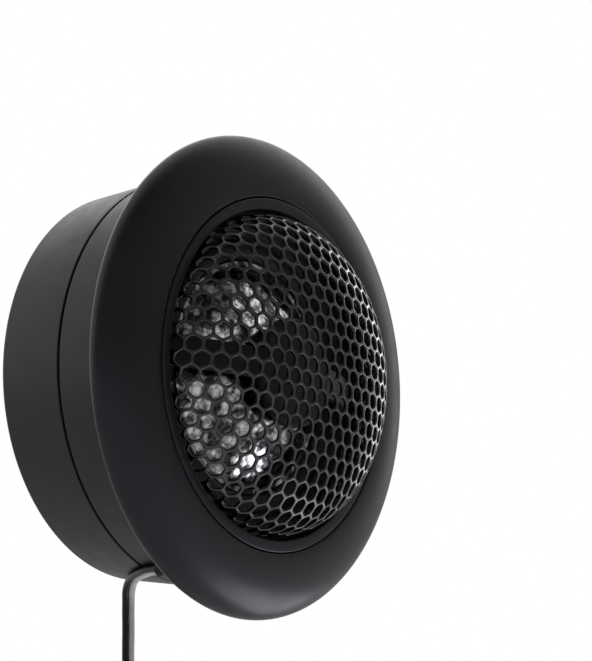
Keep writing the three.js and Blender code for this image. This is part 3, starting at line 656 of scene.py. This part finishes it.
def on_wall(depth, degrees, height):
    """A place (x, y, z) in mm at a height above the housing's wall."""
    radius = wall_radius(depth) + height
    angle = math.radians(degrees)
    return (radius * math.cos(angle), -depth, radius * math.sin(angle))


def spline(points, gap):
    """Points about gap apart on a smooth curve through the given ones."""
    points = [np.array(p, float) for p in points]
    ends = [2 * points[0] - points[1]] + points + [2 * points[-1] - points[-2]]
    out = []
    for k in range(len(points) - 1):
        a, b, c, d = ends[k:k + 4]
        steps = max(1, round(np.linalg.norm(c - b) / gap))
        for i in range(steps):
            t = i / steps
            out.append(0.5 * (2 * b + (c - a) * t + (2 * a - 5 * b + 4 * c - d) * t ** 2
                              + (3 * b - a - 3 * c + d) * t ** 3))
    return out + [points[-1]]


def ease(t):
    """A smooth step from 0 to 1."""
    t = min(max(t, 0.0), 1.0)
    return t * t * (3 - 2 * t)


def lead_path():
    """The twin lead's centreline from the boot to its bare end, in mm."""
    cx, depth, cz = COIL_CENTRE
    cy = -depth
    join = math.acos(ENTRY_BEND / (ENTRY_BEND + OUTER_TURN_RADIUS))
    entry_top = cz + (OUTER_TURN_RADIUS + ENTRY_BEND) * math.sin(join)
    upper = [
        on_wall(12.4, 245.5, LEAD_HEIGHT), on_wall(11.3, 246.3, LEAD_HEIGHT),
        on_wall(10.2, 247.2, LEAD_HEIGHT), on_wall(9.0, 248.7, LEAD_HEIGHT),
        on_wall(7.8, 250.4, LEAD_HEIGHT), on_wall(6.6, 252.4, LEAD_HEIGHT),
        on_wall(5.4, 254.8, LEAD_HEIGHT), on_wall(4.4, 257.0, LEAD_HEIGHT + 0.06),
        on_wall(3.55, 258.9, LEAD_HEIGHT + 0.38), on_wall(2.95, 260.3, LEAD_HEIGHT + 1.05),
        (-3.66, -2.6, -24.5), (-3.55, -2.5, -25.9), (-3.5, -2.5, -28.0), (-3.5, -2.5, -31.0),
    ]
    for z in np.linspace(-32, entry_top, 4):
        upper.append((cx, cy + FIRST_LAY * ease((-31 - z) / (-31 - entry_top)), z))
    path = spline(upper, POINT_GAP)
    for turn in np.linspace(0, join, 8)[1:]:
        path.append(np.array((
            cx - ENTRY_BEND * (1 - math.cos(turn)), cy + FIRST_LAY, entry_top - ENTRY_BEND * math.sin(turn),
        )))
    path += coil_path(math.pi - join)
    end = path[-1]
    for z in np.linspace(cz, TAIL_END, 26)[1:]:
        back = ease((cz - 4.5 - z) / 9.0)
        path.append(np.array((TAIL_X, end[1] + (cy - end[1]) * back, z)))
    return path


def coil_path(start):
    """The coil from its first angle to the tail: outer turns laid forward, then inner turns laid back."""
    cx, depth, cz = COIL_CENTRE
    last = math.pi * (1 + 2 * COIL_TURNS)
    steps = 40 * COIL_TURNS
    path = []
    for i in range(1, steps + 1):
        angle = start + (last - start) * i / steps
        turns = (angle - start) / (2 * math.pi)
        inward = ease((turns - 3.15) / 0.18)
        outward = ease((turns - (last - start) / (2 * math.pi) + 0.30) / 0.30)
        radius = OUTER_TURN_RADIUS + (INNER_TURN_RADIUS - OUTER_TURN_RADIUS) * inward
        radius += (-(TAIL_X - cx) - INNER_TURN_RADIUS) * outward
        lay = FIRST_LAY + LAY_FORWARD * min(turns, OUTER_TURNS)
        lay -= LAY_BACK * max(turns - OUTER_TURNS, 0)
        lay -= LAY_OUT * outward
        path.append(np.array((cx + radius * math.cos(angle), lay - depth, cz + radius * math.sin(angle))))
    return path


def lead_sides(path):
    """Unit vectors across the pair, from the black wire to the white one, at each point."""
    places = np.array(path)
    along = np.gradient(places, axis=0)
    along /= np.linalg.norm(along, axis=1)[:, None]
    sides = []
    for place, tangent in zip(places, along):
        x, y, z = place
        outward = np.array((x, 0.0, z)) / math.hypot(x, z)
        on_cup = np.cross(outward, tangent)
        if on_cup[2] > 0:
            on_cup = -on_cup
        hanging = np.array(HANGING_SIDE)
        in_coil = np.array((-tangent[2], 0.0, tangent[0]))
        free = ease((-22.6 - z) / 2.6)
        wound = ease((-28.5 - z) / 8.0)
        side = on_cup * (1 - free) + hanging * free * (1 - wound) + in_coil * wound
        side -= tangent * side.dot(tangent)
        sides.append(side / np.linalg.norm(side))
    return along, sides


def make_boot():
    """The rubber boot where the lead comes out, lying along the housing's wall."""
    places = [np.array(on_wall(*p)) for p in BOOT_AXIS]
    path = spline(places, 0.1)
    along, sides = lead_sides(path)
    sections = []
    for k, (place, tangent, side) in enumerate(zip(path, along, sides)):
        radius = BOOT_RADIUS * (1 - 0.12 * ease((k - len(path) + 4) / 3))
        sections.append(round_section(place, tangent, side, radius, BOOT_SIDES))
    boot = link("lead_boot", *swept(sections), MATERIALS["rubber"])
    fix_normals(boot)
    smooth(boot, 50)
    return stand_for(boot, "housing", "rubber", "lead_grommet")


def make_tie():
    """The tie round the coil: the CAD band with its edges rounded."""
    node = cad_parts["lead_tie"]
    tie = bpy.data.objects.new("lead_tie_band", node.data.copy())
    bpy.context.scene.collection.objects.link(tie)
    tie.matrix_world = node.matrix_world
    tie.data.transform(tie.matrix_world)
    tie.matrix_world = Matrix.Identity(4)
    tie.data.materials.clear()
    tie.data.materials.append(MATERIALS["rubber"])
    work = bmesh.new()
    work.from_mesh(tie.data)
    bmesh.ops.remove_doubles(work, verts=work.verts, dist=0.002 * MM)
    bmesh.ops.dissolve_limit(work, angle_limit=math.radians(2), verts=work.verts, edges=work.edges)
    work.to_mesh(tie.data)
    work.free()
    round_edges(tie, TIE_ROUND * MM)
    smooth(tie, 40)
    return stand_for(tie, "housing", "rubber", "lead_tie")


def make_lead():
    """The black and the white wire, side by side along one path."""
    path = lead_path()
    along, sides = lead_sides(path)
    vertices, faces, looks = [], [], []
    for wire, way in ((0, -1), (1, 1)):
        sections = []
        for place, tangent, side in zip(path, along, sides):
            centre = place + side * WIRE_RADIUS * way * WIRE_TOUCH
            sections.append(round_section(centre, tangent, side, WIRE_RADIUS, WIRE_SIDES))
        tube_vertices, tube_faces = swept(sections)
        faces += [[i + len(vertices) for i in face] for face in tube_faces]
        looks += [wire] * len(tube_faces)
        vertices += tube_vertices
    lead = link("lead_twin", vertices, faces, MATERIALS["black_wire"])
    lead.data.materials.append(MATERIALS["white_wire"])
    lead.data.polygons.foreach_set("material_index", looks)
    fix_normals(lead)
    smooth(lead, 60)
    stand_for(lead, "housing", "black_wire", "lead_upper", "lead_coil", "lead_tail")


# ---- stage and light: metres, degrees and watts -------------------------------------------------
FLOOR_HEIGHT = -0.11
FLOOR_REACH = 4
WORLD_COLOUR = (1, 0.99, 0.975, 1)
# Direction, the two angles from it between which the light changes, and the light outside and inside.
WORLD_LOBES = (
    ((-20, -8), 108, 82, 1.30, 0.21),
    ((116, 0), 34, 14, 1.0, 0.32),
    ((146, 12), 40, 15, 1.0, 1.25),
    ((-150, 5), 66, 36, 1.0, 0.66),
    ((0, 90), 55, 25, 1.0, 0.55),
)
LIGHT_DISTANCE = 0.25
LIGHT_AIM = (0, -0.02, 0)
# Soft boxes that light one piece only: name, piece, azimuth and elevation, size and power.
ONLY_LIGHTS = (
    ("dome_upper", "dome", (44, 34), (0.13, 0.12), 0.050),
    ("dome_lower", "dome", (38, -20), (0.12, 0.10), 0.014),
    ("dome_left", "dome", (2, 28), (0.12, 0.08), 0.010),
    ("mesh_right", "mesh", (88, 8), (0.05, 0.20), 0.13),
    ("mesh_low", "mesh", (40, -62), (0.10, 0.05), 0.06),
)


def make_stage():
    """The plain pale floor, well below the lead."""
    material, tree, shader = new_material("floor_paint")
    colour = ramp(tree, noise(tree, 3, 2), (0.86, 0.86, 0.86), (0.89, 0.89, 0.89))
    tree.links.new(colour, shader.inputs["Base Color"])
    shader.inputs["Roughness"].default_value = 0.9
    reach = FLOOR_REACH
    corners = [(-reach, -reach), (reach, -reach), (reach, reach), (-reach, reach)]
    floor = link("floor", [(x, y, FLOOR_HEIGHT) for x, y in corners], [[0, 1, 2, 3]], material)


def lobe(tree, centre, outer, inner, low, high):
    """A value that goes smoothly from low to high between two angles from a direction."""
    place = tree.nodes.new("ShaderNodeTexCoord").outputs["Generated"]
    dot = tree.nodes.new("ShaderNodeVectorMath")
    dot.operation = "DOT_PRODUCT"
    dot.inputs[1].default_value = direction(*centre)
    tree.links.new(place, dot.inputs[0])
    part = tree.nodes.new("ShaderNodeMapRange")
    part.interpolation_type = "SMOOTHSTEP"
    part.inputs["From Min"].default_value = math.cos(math.radians(outer))
    part.inputs["From Max"].default_value = math.cos(math.radians(inner))
    part.inputs["To Min"].default_value = low
    part.inputs["To Max"].default_value = high
    tree.links.new(dot.outputs["Value"], part.inputs["Value"])
    return part.outputs["Result"]


def times(tree, a, b):
    node = tree.nodes.new("ShaderNodeMath")
    node.operation = "MULTIPLY"
    tree.links.new(a, node.inputs[0])
    tree.links.new(b, node.inputs[1])
    return node.outputs["Value"]


def make_world():
    """Soft light from all round, with brighter and darker sides. The camera sees plain white instead."""
    world = bpy.data.worlds.new("studio")
    bpy.context.scene.world = world
    world.use_nodes = True
    tree = world.node_tree
    lit = tree.nodes["Background"]
    lit.inputs["Color"].default_value = WORLD_COLOUR
    strength = lobe(tree, *WORLD_LOBES[0])
    for shape in WORLD_LOBES[1:]:
        strength = times(tree, strength, lobe(tree, *shape))
    tree.links.new(strength, lit.inputs["Strength"])
    seen = tree.nodes.new("ShaderNodeBackground")
    seen.inputs["Color"].default_value = (1, 1, 1, 1)
    path = tree.nodes.new("ShaderNodeLightPath")
    mix = tree.nodes.new("ShaderNodeMixShader")
    tree.links.new(path.outputs["Is Camera Ray"], mix.inputs["Fac"])
    tree.links.new(lit.outputs[0], mix.inputs[1])
    tree.links.new(seen.outputs[0], mix.inputs[2])
    tree.links.new(mix.outputs[0], tree.nodes["World Output"].inputs["Surface"])


def soft_box(name, place, aim, size, power, color=(1, 1, 1)):
    """A rectangular lamp at a place, turned to an aim, both in metres."""
    data = bpy.data.lights.new(name, "AREA")
    data.shape = "RECTANGLE"
    data.size, data.size_y = size
    data.energy = power
    data.color = color
    light = bpy.data.objects.new(name, data)
    light.visible_camera = False
    bpy.context.scene.collection.objects.link(light)
    light.location = place
    light.rotation_euler = (Vector(aim) - Vector(place)).to_track_quat("-Z", "Y").to_euler()
    return light


def make_lights(receivers):
    """One soft box for the whole part, and those of ONLY_LIGHTS, each linked to its piece."""
    middle = Vector((0, -0.018, 0))
    low = Vector(direction(62, -42)) * 0.12 + middle
    soft_box("low_right", low, middle, (0.075, 0.045), 0.026, (0.92, 0.94, 1.0))
    for name, receiver, way, size, power in ONLY_LIGHTS:
        light = soft_box(name, Vector(direction(*way)) * LIGHT_DISTANCE, LIGHT_AIM, size, power)
        only = bpy.data.collections.new(name)
        only.objects.link(receivers[receiver])
        light.light_linking.receiver_collection = only


# ---- build ------------------------------------------------------------------------------------
bpy.context.scene.view_settings.view_transform = "Standard"
make_camera()
make_boot()
make_tie()
make_lead()
dress_cad_nodes()
make_rear_cup()
make_front_housing()
make_bezel()
make_grille_ring()
mesh = make_mesh()
make_faceplate()
dome = make_dome()
make_surround()
make_stage()
make_world()
make_lights({"dome": dome, "mesh": mesh})
